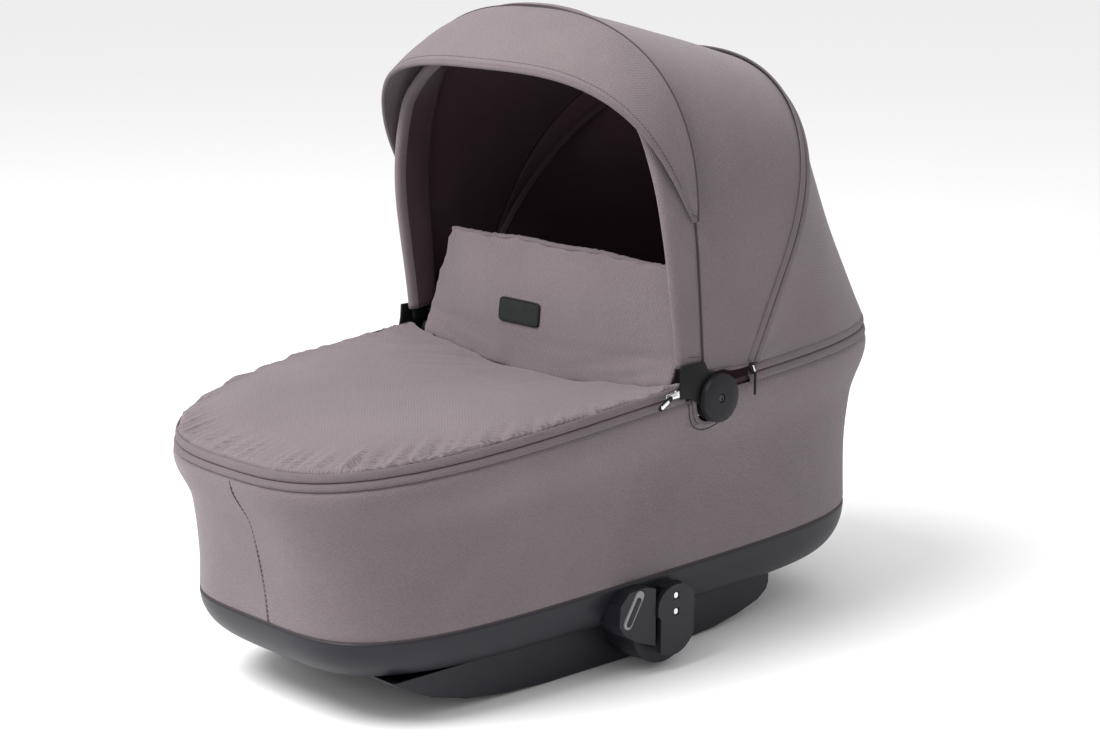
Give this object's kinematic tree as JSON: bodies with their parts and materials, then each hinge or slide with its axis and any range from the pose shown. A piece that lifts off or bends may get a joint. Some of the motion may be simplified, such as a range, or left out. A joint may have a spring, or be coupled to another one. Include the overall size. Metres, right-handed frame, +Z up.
{
  "type": "baby carrycot",
  "caption": "Soft baby carrycot with padded apron, wind flap, folding hood with sun visor, moulded base, and side adapters for a pram chassis.",
  "frame": {"origin": "centre of the bounding box's footprint, on the ground under the tray", "axes": "+X towards the right-hand side seen from the foot end, -Y towards the foot end, +Y towards the hood, +Z up"},
  "size_m": [0.4472, 0.7732, 0.6535],
  "materials": {
    "taupe_fabric": "matt woven, taupe",
    "dark_lining": "matt lining, near black",
    "charcoal_plastic": "fine-grained, charcoal",
    "black_plastic": "satin, black",
    "grey_plastic": "satin, mid grey",
    "steel": "bright, plated",
    "aluminium": "plain tube",
    "foam": "covered foam, off-white",
    "board": "flat sheet, grey"
  },
  "bodies": {
    "tub": {"outer_cover": "taupe_fabric", "zip_tape_front": "taupe_fabric", "zip_tape_rear": "taupe_fabric", "side_panel_right": "board", "side_panel_left": "board", "side_panel_head": "board", "side_panel_foot": "board", "base_shell": "charcoal_plastic", "carrier_tray": "charcoal_plastic", "tray_screw_1": "steel", "tray_screw_2": "steel", "tray_screw_3": "steel", "tray_screw_4": "steel", "rim_frame": "aluminium", "frame_brace_foot": "steel", "frame_brace_head": "steel", "inner_liner": "dark_lining", "mattress": "foam", "hood_rear_panel": "taupe_fabric", "hub_housing_right": "black_plastic", "hub_pin_right": "steel", "adapter_body_right": "charcoal_plastic", "adapter_neck_right": "charcoal_plastic", "adapter_plate_right": "charcoal_plastic", "button_housing_right": "charcoal_plastic", "hub_housing_left": "black_plastic", "hub_pin_left": "steel", "adapter_body_left": "charcoal_plastic", "adapter_neck_left": "charcoal_plastic", "adapter_plate_left": "charcoal_plastic", "button_housing_left": "charcoal_plastic"},
    "rear_bow": {"rear_bow": "steel", "rear_bow_end_right": "black_plastic", "rear_bow_end_left": "black_plastic", "hood_panel_rear": "taupe_fabric", "hood_slider_right": "steel", "hood_slider_left": "steel"},
    "front_bow": {"front_bow": "black_plastic", "front_sleeve": "taupe_fabric", "hood_panel_front": "taupe_fabric", "hub_cover_right": "charcoal_plastic", "hub_cover_left": "charcoal_plastic", "hub_screw_right": "steel", "hub_screw_left": "steel", "visor_panel": "taupe_fabric", "visor_wire": "steel"},
    "apron": {"apron_pad": "taupe_fabric", "apron_zip_tape": "taupe_fabric", "apron_slider_right": "steel", "apron_slider_left": "steel"},
    "flap": {"wind_flap": "taupe_fabric", "flap_badge": "black_plastic"},
    "apron_pull_right": {"apron_pull_right_tab": "steel"},
    "hood_pull_right": {"hood_pull_right_tab": "black_plastic"},
    "latch_right": {"latch_bolt_right": "steel"},
    "button_right": {"release_button_right": "grey_plastic"},
    "apron_pull_left": {"apron_pull_left_tab": "steel"},
    "hood_pull_left": {"hood_pull_left_tab": "black_plastic"},
    "latch_left": {"latch_bolt_left": "steel"},
    "button_left": {"release_button_left": "grey_plastic"}
  },
  "joints": [
    {"name": "rear_bow_fold", "type": "hinge", "parent": "tub", "child": "rear_bow", "pos_m": [0, 0.04, 0.275], "axis": [-1, 0, 0], "range_deg": [0, 30.5]},
    {"name": "front_bow_fold", "type": "hinge", "parent": "rear_bow", "child": "front_bow", "pos_m": [0, 0.04, 0.275], "axis": [-1, 0, 0], "range_deg": [0, 30.5]},
    {"name": "apron_off", "type": "slide", "parent": "tub", "child": "apron", "axis": [0, -0.9023, 0.4311], "range_m": [0, 0.45]},
    {"name": "flap_fold", "type": "hinge", "parent": "apron", "child": "flap", "pos_m": [0, 0.004, 0.3], "axis": [1, 0, 0], "range_deg": [0, 80]},
    {"name": "apron_pull_right_swing", "type": "hinge", "parent": "apron", "child": "apron_pull_right", "pos_m": [0.216, -0.025, 0.28566], "axis": [0, -0.5, 0.866], "range_deg": [0, 80]},
    {"name": "hood_pull_right_swing", "type": "hinge", "parent": "rear_bow", "child": "hood_pull_right", "pos_m": [0.2224, 0.083, 0.295], "axis": [0, -1, 0], "range_deg": [0, 80]},
    {"name": "button_right_press", "type": "slide", "parent": "tub", "child": "button_right", "axis": [-1, 0, 0], "range_m": [0, 0.004], "stiffness_N_per_m": 400, "springref_m": -0.002},
    {"name": "latch_right_retract", "type": "slide", "parent": "tub", "child": "latch_right", "axis": [-1, 0, 0], "range_m": [0, 0.003], "stiffness_N_per_m": 400, "springref_m": -0.002},
    {"name": "apron_pull_left_swing", "type": "hinge", "parent": "apron", "child": "apron_pull_left", "pos_m": [-0.216, -0.025, 0.28566], "axis": [0, 0.5, -0.866], "range_deg": [0, 80]},
    {"name": "hood_pull_left_swing", "type": "hinge", "parent": "rear_bow", "child": "hood_pull_left", "pos_m": [-0.2224, 0.083, 0.295], "axis": [0, 1, 0], "range_deg": [0, 80]},
    {"name": "button_left_press", "type": "slide", "parent": "tub", "child": "button_left", "axis": [1, 0, 0], "range_m": [0, 0.004], "stiffness_N_per_m": 400, "springref_m": -0.002},
    {"name": "latch_left_retract", "type": "slide", "parent": "tub", "child": "latch_left", "axis": [1, 0, 0], "range_m": [0, 0.003], "stiffness_N_per_m": 400, "springref_m": -0.002}
  ],
  "couplings": [
    {"joint": "front_bow_fold", "follows": "rear_bow_fold", "ratio": 1},
    {"joint": "latch_right_retract", "follows": "button_right_press", "ratio": 0.75},
    {"joint": "latch_left_retract", "follows": "button_left_press", "ratio": 0.75}
  ]
}
